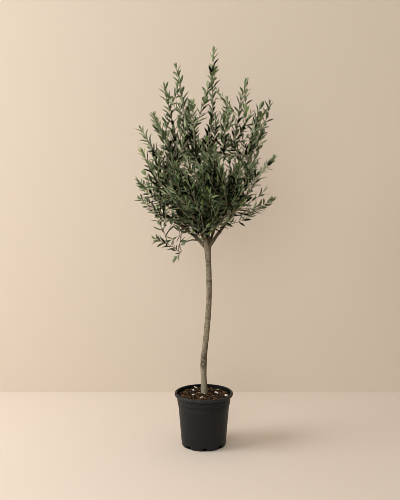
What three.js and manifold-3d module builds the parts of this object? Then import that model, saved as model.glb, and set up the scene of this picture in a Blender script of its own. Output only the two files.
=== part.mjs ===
// A young olive tree grown as a standard in a round nursery pot: one clear stem, a fork of boughs and a vase-shaped
// crown of upright plumes. Millimetres, +Z up. The origin is the centre of the pot's flat underside.
// +X is the tree's right and -Y its front. The trunk and boughs are limbs bent along a curve, and each mass of
// foliage is a plume: a belly that runs out into a thin spire at each of its tips.
import * as THREE from 'three';
import { mergeVertices } from 'three/addons/utils/BufferGeometryUtils.js';
import Module from 'manifold-3d';

const wasm = await Module();
wasm.setup();

// ---- driving dimensions ----

const GAP = 0.35; // left between pieces that touch
const FINE_GAP = 0.5; // left between masses, whose facets meet at a slant

const POT = {
  height: 233, rimRadius: 126.5, sides: 28, wall: 2.5, floor: 3,
  lipHeight: 13, lipRound: 3, // the rolled lip
  collarTop: 116.2, collarFoot: 113.2, collarDepth: 49, collarStep: 3, // the band under the lip, down to its step
  bodyTop: 110.4, bodyFoot: 96.2, footRadius: 91.5, footRound: 9,
  notches: 8, notchWidth: 17, notchHeight: 11, notchReach: 10, notchTurn: 2, // drain notches in the bottom edge
};
const SOIL = { wallHeight: 220.5, crownHeight: 227.5, flatRadius: 34, sides: 28, domeSteps: 2 };
const TRUNK = {
  foot: [2.5, 12], // its centre on the soil
  // how far right and back of the foot the stem stands, at each height above the soil
  sway: [[132, -3.5, -2], [258, 8.5, -6], [422, 20, -9], [542, 18, -7], [646, 12.5, -4]],
  radius: 13.4, taper: 1.4, flare: 2, flareHeight: 16,
  knotHeight: 132, knotSize: 1.2, knotSpread: 26, // a slight swelling low on the stem
  forkSwell: 4.2, forkSpread: 95, // widening towards the fork
  sides: 8, rings: 16,
};
const FORK = new THREE.Vector3(15, 8, 873.5); // the head of the stem, where the boughs part

// Boughs: `turn` is the way one leans, in degrees round the stem (0 right, 90 back, 180 left, 270 front), `reach`
// and `rise` are how far out and up from the fork it ends, `arch` lifts (or, below 0, drops) the middle of it, and
// `thick` holds its radius at either end. One that grows `on` another leaves it a share `from` of the way along it.
const BOUGHS = {
  bough_left: { turn: 183, reach: 196, rise: 130, arch: 13, thick: [9.2, 4.6] },
  bough_right: { turn: 358, reach: 148, rise: 190, arch: -4, thick: [8.6, 4.2] },
  bough_centre: { turn: 60, reach: 12, rise: 85, arch: 0, thick: [9, 6.5] },
  bough_front: { turn: 258, reach: 66, rise: 96, arch: 6, thick: [7.5, 5] },
  bough_back: { turn: 82, reach: 78, rise: 104, arch: 8, thick: [8, 5] },
  bough_front_left: { turn: 214, reach: 62, rise: 100, arch: 4, thick: [7, 4.8] },
  bough_back_right: { turn: 44, reach: 94, rise: 172, arch: -8, thick: [7, 4.4] },
  bough_back_left: { turn: 138, reach: 94, rise: 170, arch: -8, thick: [7, 4.4] },
  bough_hanging: { on: 'bough_left', from: 0.2, turn: 194, reach: 92, rise: -28, arch: 10, thick: [4.2, 2.8] },
};
const BOUGH_SIDES = 6;
const BOUGH_RINGS = 5;

// Masses: `foot` is where one starts and `tips` where its spires end, each as turn, reach and rise from the fork;
// `belly` is its greatest radius, `spire` the radius of its spires, `body` the share of its length that the belly
// takes, and `arch` lifts the middle of its axis. The ones named first keep their whole shape, and each later one
// is cut back from all before it.
const MASSES = {
  mass_core: { foot: [90, 4, 60], tips: [[20, 14, 360]], belly: 84, spire: 20, body: 1, arch: 0 },
  mass_leader: { foot: [90, 10, 300], tips: [[14, 28, 830], [0, 52, 646]], belly: 70, spire: 32, body: 0.54, arch: 0 },
  mass_hanging: { foot: [195, 84, -6], tips: [[192, 243, 44], [194, 186, -58], [190, 140, -52]],
    belly: 29, spire: 20, body: 0.9, arch: -20 },
  mass_low_right: { foot: [2, 104, 112], tips: [[3, 297, 204]], belly: 26, spire: 22, body: 0.7, arch: -8 },
  mass_left_spire: { foot: [195, 62, 346], tips: [[188, 138, 761], [185, 94, 705]],
    belly: 68, spire: 29, body: 0.62, arch: 0 },
  mass_right_spire: { foot: [358, 92, 336], tips: [[359, 169, 705], [352, 121, 640]],
    belly: 66, spire: 28, body: 0.64, arch: 0 },
  mass_far_left_spire: { foot: [168, 108, 350], tips: [[171, 186, 684]], belly: 60, spire: 26, body: 0.62, arch: 0 },
  mass_curved_right: { foot: [8, 150, 290], tips: [[7, 265, 619]], belly: 42, spire: 31, body: 0.6, arch: -26 },
  mass_outer_right: { foot: [352, 140, 310], tips: [[350, 232, 606], [352, 200, 606]],
    belly: 48, spire: 24, body: 0.72, arch: -6 },
  mass_upper_left: { foot: [200, 118, 310], tips: [[194, 236, 561]], belly: 66, spire: 26, body: 0.7, arch: -8 },
  mass_left_shoulder: { foot: [168, 128, 276], tips: [[173, 294, 506]], belly: 70, spire: 25, body: 0.76, arch: -12 },
  mass_left_middle: { foot: [198, 124, 216], tips: [[191, 298, 354], [192, 292, 418]],
    belly: 72, spire: 28, body: 0.82, arch: -10 },
  mass_inner_left: { foot: [196, 46, 62], tips: [[206, 176, 262]], belly: 70, spire: 22, body: 0.95, arch: -6 },
  mass_left_side: { foot: [178, 140, 160], tips: [[178, 312, 287]], belly: 66, spire: 25, body: 0.84, arch: -8 },
  mass_left_low: { foot: [184, 116, 88], tips: [[188, 298, 210], [186, 226, 118]],
    belly: 46, spire: 25, body: 0.88, arch: -12 },
  mass_right_middle: { foot: [8, 100, 160], tips: [[6, 214, 390]], belly: 72, spire: 24, body: 0.95, arch: -10 },
  mass_right_side: { foot: [350, 140, 216], tips: [[355, 286, 384], [352, 274, 268]],
    belly: 56, spire: 25, body: 0.78, arch: -14 },
  mass_inner_right: { foot: [342, 46, 66], tips: [[350, 128, 250]], belly: 50, spire: 22, body: 1, arch: 0 },
  mass_front_low: { foot: [262, 42, 50], tips: [[256, 206, 190]], belly: 64, spire: 22, body: 0.9, arch: -8 },
  mass_front_left: { foot: [232, 88, 170], tips: [[240, 266, 360]], belly: 84, spire: 24, body: 0.88, arch: -8 },
  mass_front_middle: { foot: [274, 84, 200], tips: [[276, 258, 420]], belly: 84, spire: 24, body: 0.86, arch: -10 },
  mass_front_right: { foot: [316, 86, 166], tips: [[304, 240, 356]], belly: 80, spire: 24, body: 0.88, arch: -8 },
  mass_front_high_left: { foot: [238, 96, 322], tips: [[246, 152, 606]],
    belly: 74, spire: 25, body: 0.72, arch: 0 },
  mass_front_high_right: { foot: [302, 96, 332], tips: [[300, 168, 566]], belly: 70, spire: 24, body: 0.76, arch: 0 },
  mass_back_low: { foot: [84, 56, 64], tips: [[80, 208, 200]], belly: 64, spire: 22, body: 0.9, arch: -8 },
  mass_back_left: { foot: [134, 90, 160], tips: [[126, 270, 380]], belly: 86, spire: 24, body: 0.88, arch: -8 },
  mass_back_middle: { foot: [92, 88, 196], tips: [[94, 268, 446]], belly: 86, spire: 24, body: 0.84, arch: -10 },
  mass_back_right: { foot: [46, 90, 164], tips: [[54, 252, 388]], belly: 80, spire: 24, body: 0.88, arch: -8 },
  mass_back_high_left: { foot: [128, 96, 340], tips: [[120, 168, 628]], belly: 74, spire: 25, body: 0.72, arch: 0 },
  mass_back_high_right: { foot: [56, 94, 342], tips: [[58, 160, 640]], belly: 70, spire: 25, body: 0.7, arch: 0 },
};
const MASS_SIDES = 8;
const MASS_RINGS = 7;
const SPIRE_SIDES = 5;
const SPIRE_RINGS = 4;
const UNEVEN = 0.15; // how far a mass's lumps stand out or in, as a share of its radius

// ---- materials ----

const finish = (color, roughness) => new THREE.MeshStandardMaterial({ color, roughness, metalness: 0 });
const PLASTIC = finish(0x2b2d2d, 0.55);
const EARTH = finish(0x3a281c, 0.95);
const BARK = finish(0x7d7262, 0.9);
const YOUNG_BARK = finish(0x6b5a44, 0.85);
const LEAFAGE = finish(0x4c5f45, 0.7);

// ---- solids ----

function toSolid(geometry) {
  const bare = geometry.clone();
  bare.deleteAttribute('normal');
  bare.deleteAttribute('uv');
  const merged = mergeVertices(bare, 1e-3);
  return new wasm.Manifold(new wasm.Mesh({
    numProp: 3,
    vertProperties: Float32Array.from(merged.attributes.position.array),
    triVerts: Uint32Array.from(merged.index.array),
  }));
}

function toGeometry(solid) {
  const mesh = solid.getMesh();
  const geometry = new THREE.BufferGeometry();
  geometry.setAttribute('position', new THREE.BufferAttribute(Float32Array.from(mesh.vertProperties), 3));
  geometry.setIndex(new THREE.BufferAttribute(Uint32Array.from(mesh.triVerts), 1));
  geometry.computeVertexNormals();
  return geometry;
}

// A cut can leave crumbs beside the main piece, and those are dropped.
function largestPiece(solid) {
  return solid.decompose().reduce((best, piece) => (piece.volume() > best.volume() ? piece : best));
}

// ---- pot and soil ----

const lipFoot = POT.height - POT.lipHeight;
const collarFoot = POT.height - POT.collarDepth;
const stepFoot = collarFoot - POT.collarStep;

// Radius of the wall's outer face at a height above the foot's round corner.
function outerRadius(height) {
  if (height >= collarFoot) {
    const share = Math.min((height - collarFoot) / (lipFoot - collarFoot), 1);
    return THREE.MathUtils.lerp(POT.collarFoot, POT.collarTop, share);
  }
  return THREE.MathUtils.mapLinear(height, POT.footRound, stepFoot, POT.bodyFoot, POT.bodyTop);
}

// Radius of its inner face, which steps out with the collar.
function innerRadius(height) {
  if (height >= collarFoot) return outerRadius(height) - POT.wall;
  return THREE.MathUtils.mapLinear(height, POT.floor, stepFoot, POT.footRadius, POT.bodyTop - POT.wall);
}

// A profile of [radius, height] points turned about +Z.
function lathe(profile, sides) {
  const points = profile.map(([radius, height]) => new THREE.Vector2(radius, height));
  return new THREE.LatheGeometry(points, sides).rotateX(Math.PI / 2);
}

function makePot() {
  const corner = [0, 0.5, 1].map((share) => [
    POT.footRadius + (POT.bodyFoot - POT.footRadius) * Math.sin(share * Math.PI / 2),
    POT.footRound * (1 - Math.cos(share * Math.PI / 2)),
  ]);
  const profile = [
    [0, 0], ...corner,
    [POT.bodyTop, stepFoot],
    [POT.collarFoot, collarFoot],
    [POT.collarTop, lipFoot - 1],
    [POT.rimRadius - POT.lipRound, lipFoot],
    [POT.rimRadius, lipFoot + POT.lipRound],
    [POT.rimRadius, POT.height - POT.lipRound],
    [POT.rimRadius - POT.lipRound, POT.height],
    [innerRadius(POT.height) + POT.lipRound, POT.height],
    [innerRadius(POT.height), POT.height - POT.lipRound],
    [innerRadius(lipFoot), lipFoot],
    [innerRadius(collarFoot), collarFoot],
    [innerRadius(stepFoot), stepFoot],
    [innerRadius(POT.floor), POT.floor],
    [0, POT.floor],
  ];
  let pot = toSolid(lathe(profile, POT.sides));
  for (let i = 0; i < POT.notches; i += 1) {
    const past = 20; // how far the cutting block sticks out of the foot
    const block = new THREE.BoxGeometry(POT.notchReach + past, POT.notchWidth, POT.notchHeight * 2);
    block.translate(POT.footRadius + (past - POT.notchReach) / 2, 0, 0);
    block.rotateZ(THREE.MathUtils.degToRad(POT.notchTurn - 90 + (360 / POT.notches) * i));
    pot = pot.subtract(toSolid(block));
  }
  return toGeometry(pot);
}

// It fills the pot up to a low dome, with a level patch in the middle where the stem stands.
function makeSoil() {
  const insideOf = (height) => [innerRadius(height) - GAP, height];
  const [edge] = insideOf(SOIL.wallHeight);
  const dome = [];
  for (let i = 0; i <= SOIL.domeSteps; i += 1) {
    const share = i / SOIL.domeSteps;
    dome.push([
      THREE.MathUtils.lerp(edge, SOIL.flatRadius, share),
      THREE.MathUtils.lerp(SOIL.wallHeight, SOIL.crownHeight, Math.sin(share * Math.PI / 2)),
    ]);
  }
  const base = POT.floor + GAP;
  const profile = [
    [0, base], insideOf(base), insideOf(stepFoot), insideOf(collarFoot), ...dome, [0, SOIL.crownHeight],
  ];
  return lathe(profile, SOIL.sides);
}

// ---- limbs ----

// A closed tube of round section bent along a curve; `radiusAt` gives its radius at each share of its length.
function limb(curve, radiusAt, sides, rings, grown = 0) {
  const geometry = new THREE.CylinderGeometry(1, 1, 1, sides, rings);
  geometry.deleteAttribute('normal');
  geometry.deleteAttribute('uv');
  const merged = mergeVertices(geometry, 1e-4);
  const frames = curve.computeFrenetFrames(rings);
  const places = merged.attributes.position;
  const v = new THREE.Vector3();
  for (let i = 0; i < places.count; i += 1) {
    v.fromBufferAttribute(places, i);
    const ring = Math.round((v.y + 0.5) * rings);
    const share = ring / rings;
    const radius = radiusAt(share) + grown;
    const past = ring === 0 ? -grown : ring === rings ? grown : 0;
    const place = curve.getPointAt(share)
      .addScaledVector(frames.binormals[ring], v.x * radius)
      .addScaledVector(frames.normals[ring], v.z * radius)
      .addScaledVector(frames.tangents[ring], past);
    places.setXYZ(i, place.x, place.y, place.z);
  }
  return merged;
}

const trunkFoot = new THREE.Vector3(...TRUNK.foot, SOIL.crownHeight);
const trunkCurve = new THREE.CatmullRomCurve3([
  trunkFoot,
  ...TRUNK.sway.map(([rise, right, back]) => trunkFoot.clone().add(new THREE.Vector3(right, back, rise))),
], false, 'centripetal');

function trunkRadius(share) {
  const height = share * (FORK.z - trunkFoot.z);
  const fromTop = (FORK.z - trunkFoot.z) - height;
  const knot = Math.exp(-(((height - TRUNK.knotHeight) / TRUNK.knotSpread) ** 2));
  return TRUNK.radius - TRUNK.taper * Math.min(share * 1.5, 1)
    + TRUNK.flare * Math.exp(-height / TRUNK.flareHeight)
    + TRUNK.knotSize * knot
    + TRUNK.forkSwell * Math.max(0, 1 - fromTop / TRUNK.forkSpread) ** 2;
}

// The foot is cut level, so its ring is laid flat on the soil.
function makeTrunk(grown = 0) {
  const geometry = limb(trunkCurve, trunkRadius, TRUNK.sides, TRUNK.rings, grown);
  const places = geometry.attributes.position;
  for (let i = 0; i < places.count; i += 1) {
    if (places.getZ(i) < trunkFoot.z + TRUNK.radius / 2) places.setZ(i, trunkFoot.z);
  }
  return geometry;
}

// A point at a turn, reach and rise from another.
function away(from, turn, reach, rise) {
  const angle = THREE.MathUtils.degToRad(turn);
  return new THREE.Vector3(from.x + reach * Math.cos(angle), from.y + reach * Math.sin(angle), from.z + rise);
}

const boughCurves = {};
for (const [name, bough] of Object.entries(BOUGHS)) {
  const sunk = 10; // how far inside the stem's head, or the bough that carries it, it starts before it is cut back
  const start = bough.on ? boughCurves[bough.on].getPointAt(bough.from) : FORK.clone().setZ(FORK.z - sunk);
  const end = away(bough.on ? start : FORK, bough.turn, bough.reach, bough.rise);
  const middle = start.clone().lerp(end, 0.5);
  middle.z += bough.arch * 2;
  boughCurves[name] = new THREE.QuadraticBezierCurve3(start, middle, end);
}

function makeBough(name, grown = 0) {
  const [first, last] = BOUGHS[name].thick;
  const collar = 1.5; // swelling where it leaves what carries it
  const radiusAt = (share) => THREE.MathUtils.lerp(first, last, share) + collar * Math.exp(-share * 12);
  return limb(boughCurves[name], radiusAt, BOUGH_SIDES, BOUGH_RINGS, grown);
}

// ---- masses of foliage ----

// A sphere drawn out along a curve; `radiusAt` gives its radius at each share of its length and turn round it.
function drawnOut(curve, radiusAt, sides, rings, grown) {
  const geometry = new THREE.SphereGeometry(1, sides, rings);
  geometry.deleteAttribute('normal');
  geometry.deleteAttribute('uv');
  const merged = mergeVertices(geometry, 1e-4);
  const frames = curve.computeFrenetFrames(rings);
  const places = merged.attributes.position;
  const v = new THREE.Vector3();
  for (let i = 0; i < places.count; i += 1) {
    v.fromBufferAttribute(places, i);
    const ring = Math.round((1 - Math.acos(THREE.MathUtils.clamp(v.y, -1, 1)) / Math.PI) * rings);
    const share = ring / rings;
    const turn = Math.atan2(v.z, v.x);
    const onPole = ring === 0 || ring === rings;
    const radius = onPole ? 0 : radiusAt(share, turn) + grown;
    const past = ring === 0 ? -grown : ring === rings ? grown : 0;
    const place = curve.getPointAt(share)
      .addScaledVector(frames.binormals[ring], Math.cos(turn) * radius)
      .addScaledVector(frames.normals[ring], Math.sin(turn) * radius)
      .addScaledVector(frames.tangents[ring], past);
    places.setXYZ(i, place.x, place.y, place.z);
  }
  return merged;
}

// Waves round and along a mass that make its lumps; each mass has its own `order`, which shifts them.
function lumps(share, turn, order) {
  return Math.sin(3 * turn + 7 * share + order * 2.4) * 0.6 + Math.sin(2 * turn - 11 * share + order * 1.3) * 0.6;
}

function makeMass(name, order, grown = 0) {
  const mass = MASSES[name];
  const foot = away(FORK, ...mass.foot);
  const spireRadius = (share) => mass.spire * Math.sqrt(1 - share ** 8);
  const bellyRadius = (share) => {
    const along = Math.min(share / mass.body, 1);
    return mass.belly * Math.sin(Math.PI * along ** 0.8) ** 0.7;
  };
  return mass.tips.map(([turn, reach, rise], which) => {
    const tip = away(FORK, turn, reach, rise);
    const middle = foot.clone().lerp(tip, 0.5);
    middle.z += mass.arch * 2;
    const curve = new THREE.QuadraticBezierCurve3(foot, middle, tip);
    const first = which === 0;
    const radiusAt = (share, around) => {
      const rising = Math.min(share * 4, 1);
      const full = first ? Math.max(bellyRadius(share), spireRadius(share) * rising) : spireRadius(share) * rising;
      return full * (1 + UNEVEN * lumps(share, around, order + which));
    };
    const [sides, rings] = first ? [MASS_SIDES, MASS_RINGS] : [SPIRE_SIDES, SPIRE_RINGS];
    return toSolid(drawnOut(curve, radiusAt, sides, rings, grown));
  }).reduce((whole, plume) => whole.add(plume));
}

// ---- the whole tree ----

const tree = new THREE.Group();

function addPiece(name, geometry, material) {
  const mesh = new THREE.Mesh(geometry, material);
  mesh.name = name;
  tree.add(mesh);
}

addPiece('pot', makePot(), PLASTIC);
addPiece('soil', makeSoil(), EARTH);
addPiece('trunk', makeTrunk(), BARK);

const standing = [toSolid(makeTrunk(GAP))]; // everything placed so far, each grown by the gap it keeps
for (const name of Object.keys(BOUGHS)) {
  const bough = standing.reduce((left, other) => left.subtract(other), toSolid(makeBough(name)));
  addPiece(name, toGeometry(largestPiece(bough)), YOUNG_BARK);
  standing.push(toSolid(makeBough(name, GAP)));
}
Object.keys(MASSES).forEach((name, order) => {
  const mass = standing.reduce((left, other) => left.subtract(other), makeMass(name, order));
  addPiece(name, toGeometry(largestPiece(mass)), LEAFAGE);
  standing.push(makeMass(name, order, FINE_GAP));
});

export default tree;
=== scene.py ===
"""A young olive grown as a standard in a nursery pot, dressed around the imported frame.

Metres, in the frame's axes: +Z up the stem, +X the tree's right, -Y its front. Sizes in millimetres are
multiplied by MM. Everything random is drawn from generators with fixed seeds.
"""
import math

import bpy
import numpy as np
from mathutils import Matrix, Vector, noise
from mathutils.bvhtree import BVHTree
from mathutils.kdtree import KDTree


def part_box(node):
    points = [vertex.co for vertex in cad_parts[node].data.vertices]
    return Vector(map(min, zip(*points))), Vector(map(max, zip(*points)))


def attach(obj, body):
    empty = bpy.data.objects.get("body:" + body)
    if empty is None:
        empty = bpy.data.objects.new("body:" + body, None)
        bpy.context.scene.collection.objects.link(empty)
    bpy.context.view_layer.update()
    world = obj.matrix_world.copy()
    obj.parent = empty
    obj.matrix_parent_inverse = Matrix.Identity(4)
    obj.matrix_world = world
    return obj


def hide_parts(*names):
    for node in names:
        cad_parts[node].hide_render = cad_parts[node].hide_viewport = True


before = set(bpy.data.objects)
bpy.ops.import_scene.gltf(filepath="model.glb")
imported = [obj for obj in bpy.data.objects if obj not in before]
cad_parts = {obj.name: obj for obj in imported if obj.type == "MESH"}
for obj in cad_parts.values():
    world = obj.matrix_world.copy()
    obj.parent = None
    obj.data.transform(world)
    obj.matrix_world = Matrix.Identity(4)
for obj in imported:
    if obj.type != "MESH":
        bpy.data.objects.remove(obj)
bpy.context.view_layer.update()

MM = 0.001
UP = np.array([0.0, 0.0, 1.0])
NODES = sorted(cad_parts)
MASSES = [n for n in NODES if n.startswith("mass_")]
BOUGHS = [n for n in NODES if n.startswith("bough_")]
SEEDS = {"chips": 11, "crown": 3557, "shoots": 2153, "leaves": 7726}

# ---- camera, stage and lights ----
CAMERA_PLACE = (-0.0164, -3.3, 1.241)
CAMERA_DOWN = 6.71  # degrees below the horizon
LENS = 56.4
WALL_BEHIND = 0.76  # from the pot's axis to the backdrop
FLOOR_REACH = 7.0
WALL_HEIGHT = 5.0

# ---- how the crown grows ----
SKIN_GAP = 59 * MM  # between the ends of shoots on the crown's open surface, low in it
INNER_GAP = 50 * MM  # between those inside it
OPENING = 1.28  # how much wider both are in the upper crown
OPENING_HEIGHTS = (1.08, 1.28)  # from the first height to the second the gaps widen, in metres
OPEN_MASSES = {  # ones that stand more open, or closer, and how much wider their gaps are
    "mass_right_side": 1.4, "mass_low_right": 1.25, "mass_curved_right": 1.2, "mass_front_high_right": 2.1,
    "mass_back_high_right": 1.7, "mass_right_middle": 1.2, "mass_left_low": 1.4, "mass_leader": 1.3,
    "mass_left_spire": 1.3, "mass_right_spire": 1.1, "mass_front_high_left": 1.3, "mass_hanging": 0.65,
    "mass_left_side": 0.9, "mass_front_right": 0.9, "mass_front_middle": 0.75, "mass_core": 0.85,
    "mass_inner_left": 0.85, "mass_inner_right": 0.9}
END_ROOM = 34 * MM  # no shoot ends closer to a leader's outer half, or inside the crown to another end
INNER_DEPTH = 8 * MM  # how far under the surface the shoots inside it end, at least
LOWEST_FACING = -0.45  # no shoot but the low spray's ends where the surface looks down more steeply
TIP_REACH = 75 * MM  # a further tip of a mass stands out from all its points this near
TIP_FROM_LEADER = 60 * MM  # and it is this far from where the leader ends, at least
TIP_CLEAR = 16 * MM  # and there is open air this far beyond it
LEADER_SHORT, SHOOT_SHORT = 26 * MM, 24 * MM  # how far they stop before their targets, for the last leaves
SHOOT_STEP = 10 * MM  # between the points of a shoot's path
SHORTEST = 45 * MM  # shoots shorter than this are seldom chosen
CROWD_SEEN = 300 * MM  # only leafy points this near a target are looked at
SKIN_DEPTH = 13 * MM  # how far under a mass's surface a shoot ends, so that its leaves reach the surface
SHOOT_LENGTHS = {"tip": 240 * MM, "skin": 190 * MM, "deep": 150 * MM}  # what each kind of shoot likes best
TRIES, TRY_GAP = 6, 22 * MM  # how many places a shoot may try to leave from, and how far apart
BEARING_LENGTH = 110 * MM  # longer shoots bear others
CROWD_REACH = 21 * MM  # how near a leafy point crowds another
CROWDED = {"tip": 9.0, "skin": 2.3, "deep": 4.0}  # how many may crowd each point of a new shoot
STRAY = 6 * MM  # how far outside the masses a shoot may run, on average

# ---- leaves ----
LEADER_BARE, SHOOT_BARE = 0.25, 0.12  # share of a leader or a shoot that has no leaves
INTERNODE = 18.5 * MM  # between pairs of leaves
LEADER_INTERNODE = 14.5 * MM  # on leaders and on the low spray
LEAF_LENGTH = 42 * MM
LEAF_WIDTH = 10.8 * MM
LEAF_STRAY = 14 * MM  # how far outside the masses a leaf's middle may lie


# ================================================================ small tools

def unit(v):
    return v / np.maximum(np.linalg.norm(v, axis=-1, keepdims=True), 1e-12)


def read(items, attribute, width, kind=float):
    """An attribute of each vertex, edge or triangle of a mesh, a row for each."""
    numbers = np.empty(len(items) * width, kind)
    items.foreach_get(attribute, numbers)
    return numbers.reshape(-1, width)


def cad_mesh(name):
    """A CAD node's points and triangles."""
    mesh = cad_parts[name].data
    mesh.calc_loop_triangles()
    return read(mesh.vertices, "co", 3), read(mesh.loop_triangles, "vertices", 3, np.int32)


def mesh_from(name, points, faces, tints=None, smooth=True):
    """A mesh from arrays. faces is a list of integer arrays, each of faces with one number of corners."""
    mesh = bpy.data.meshes.new(name)
    counts = np.concatenate([np.full(len(f), f.shape[1]) for f in faces])
    corners = np.concatenate([f.ravel() for f in faces])
    starts = np.concatenate([[0], np.cumsum(counts)[:-1]])
    mesh.vertices.add(len(points))
    mesh.vertices.foreach_set("co", np.asarray(points, np.float32).ravel())
    mesh.loops.add(len(corners))
    mesh.loops.foreach_set("vertex_index", corners.astype(np.int32))
    mesh.polygons.add(len(counts))
    mesh.polygons.foreach_set("loop_start", starts.astype(np.int32))
    if tints is not None:
        mesh.polygons.foreach_set("material_index", np.asarray(tints, np.int32))
    mesh.polygons.foreach_set("use_smooth", np.full(len(counts), smooth))
    mesh.update(calc_edges=True)
    return mesh


def repeated(faces, times, step):
    """The faces of many copies of a shape whose points follow each other, step apart."""
    return (faces[None] + (np.arange(times) * step)[:, None, None]).reshape(-1, faces.shape[1])


def put(name, data):
    """A new object in the scene."""
    made = bpy.data.objects.new(name, data)
    bpy.context.scene.collection.objects.link(made)
    return made


def piece(name, mesh, materials, replaces):
    made = put(name, mesh)
    for material in materials:
        mesh.materials.append(material)
    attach(made, "root")
    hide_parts(*replaces)


def baked(obj, name):
    """The object's mesh with its modifiers applied; the object itself is removed."""
    graph = bpy.context.evaluated_depsgraph_get()
    graph.update()
    mesh = bpy.data.meshes.new_from_object(obj.evaluated_get(graph))
    mesh.name = name
    bpy.data.objects.remove(obj)
    return mesh


def noise_at(points, waves, shift=0.0):
    """Noise from about -1 to 1 at each point. waves is how many fit in a metre, for all axes or each."""
    return np.array([noise.noise(Vector(p)) for p in points * np.asarray(waves) + shift])


def run_along(path):
    """How far along the path each of its points lies."""
    return np.concatenate([[0], np.cumsum(np.linalg.norm(np.diff(path, axis=0), axis=1))])


def length_of(path):
    return float(np.linalg.norm(np.diff(path, axis=0), axis=1).sum())


def read_off(at, run, path):
    """The places on a path at one or more lengths along it."""
    return np.stack([np.interp(at, run, path[:, k]) for k in range(3)], axis=-1)


def evenly(path, step):
    """The path again, with its points about a step apart."""
    run = run_along(path)
    return read_off(np.linspace(0, run[-1], max(2, round(run[-1] / step)) + 1), run, path)


def smooth_path(points, step):
    """A centripetal spline through the points, read off about every step."""
    p = np.asarray(points, float)
    p = np.vstack([2 * p[0] - p[1], p, 2 * p[-1] - p[-2]])
    knots = np.concatenate([[0], np.cumsum(np.sqrt(np.linalg.norm(np.diff(p, axis=0), axis=1)) + 1e-9)])

    def between(a, b, ta, tb, t):
        return ((tb - t) * a + (t - ta) * b) / (tb - ta)

    out = []
    for i in range(1, len(p) - 2):
        k0, k1, k2, k3 = knots[i - 1:i + 3]
        count = max(2, round(np.linalg.norm(p[i + 1] - p[i]) / step))
        for t in np.linspace(k1, k2, count, endpoint=False):
            a = between(p[i - 1], p[i], k0, k1, t)
            b = between(p[i], p[i + 1], k1, k2, t)
            c = between(p[i + 1], p[i + 2], k2, k3, t)
            out.append(between(between(a, b, k0, k2, t), between(b, c, k1, k3, t), k1, k2, t))
    out.append(p[-2])
    return np.array(out)


def swayed(path, waves, shifts, span, reach):
    """The path with a sway of a few millimetres, eased in and, where span is 1, out again."""
    sway = np.stack([noise_at(path, waves, shift) for shift in shifts], axis=1)
    ease = np.sin(np.linspace(0, math.pi, len(path)) * span)[:, None]
    return path + sway * ease * reach * MM


def frames_along(path):
    """Tangents, and two directions across them that are carried along without twisting."""
    tangents = unit(np.gradient(path, axis=0))
    first = np.array([1.0, 0.0, 0.0]) if abs(tangents[0][2]) > 0.9 else UP
    side = unit(np.cross(tangents[0], first))
    sides = []
    for tangent in tangents:
        side = unit(side - tangent * (side @ tangent))
        sides.append(side)
    sides = np.array(sides)
    return tangents, sides, np.cross(tangents, sides)


def ring_faces(rows, sides):
    """Faces between rings of points, and the triangles that close both ends to two points put last."""
    j = np.arange(sides)
    after = (j + 1) % sides
    row = (np.arange(rows - 1) * sides)[:, None]
    quads = np.stack([row + j, row + after, row + sides + after, row + sides + j], axis=-1).reshape(-1, 4)
    foot, tip, last = rows * sides, rows * sides + 1, (rows - 1) * sides
    caps = np.concatenate([np.stack([np.full(sides, foot), after, j], axis=1),
                           np.stack([np.full(sides, tip), last + j, last + after], axis=1)])
    return quads, caps


def turns_of(sides):
    return np.linspace(0, 2 * math.pi, sides, endpoint=False)


def lathed(radius, height):
    """A body turned about +Z from arrays of radius and height, rows for rings and columns for sides."""
    rows, sides = radius.shape
    turns = turns_of(sides)
    rings = np.stack([radius * np.cos(turns), radius * np.sin(turns), height], axis=-1).reshape(-1, 3)
    ends = np.array([(0, 0, height[0].mean()), (0, 0, height[-1].mean())])
    return np.vstack([rings, ends]), *ring_faces(rows, sides)


def tube(path, radii, sides):
    """A round tube: points, four-cornered faces and the three-cornered ones that close its ends."""
    tangents, across, over = frames_along(path)
    turns = turns_of(sides)[None, :, None]
    ring = np.cos(turns) * across[:, None, :] + np.sin(turns) * over[:, None, :]
    rings = (path[:, None, :] + ring * radii[:, None, None]).reshape(-1, 3)
    ends = np.array([path[0] - tangents[0] * radii[0] * 0.4, path[-1] + tangents[-1] * radii[-1]])
    return np.vstack([rings, ends]), *ring_faces(len(path), sides)


def joined(parts):
    """Many (points, quads, triangles, tint) in one: points, [quads, triangles] and a tint for each face."""
    points, *kinds, tints = zip(*parts)
    bases = np.cumsum([0, *map(len, points[:-1])])
    faces = [np.vstack([f + base for f, base in zip(kind, bases)]) for kind in kinds]
    face_tints = [np.repeat(tints, [len(f) for f in kind]) for kind in kinds]
    return np.vstack(points), faces, np.concatenate(face_tints)


# ================================================================ materials

def plain(name, color, roughness, specular):
    material = bpy.data.materials.new(name)
    material.use_nodes = True
    shader = material.node_tree.nodes["Principled BSDF"]
    shader.inputs["Base Color"].default_value = (*color, 1)
    shader.inputs["Roughness"].default_value = roughness
    shader.inputs["Specular IOR Level"].default_value = specular
    return material


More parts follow.
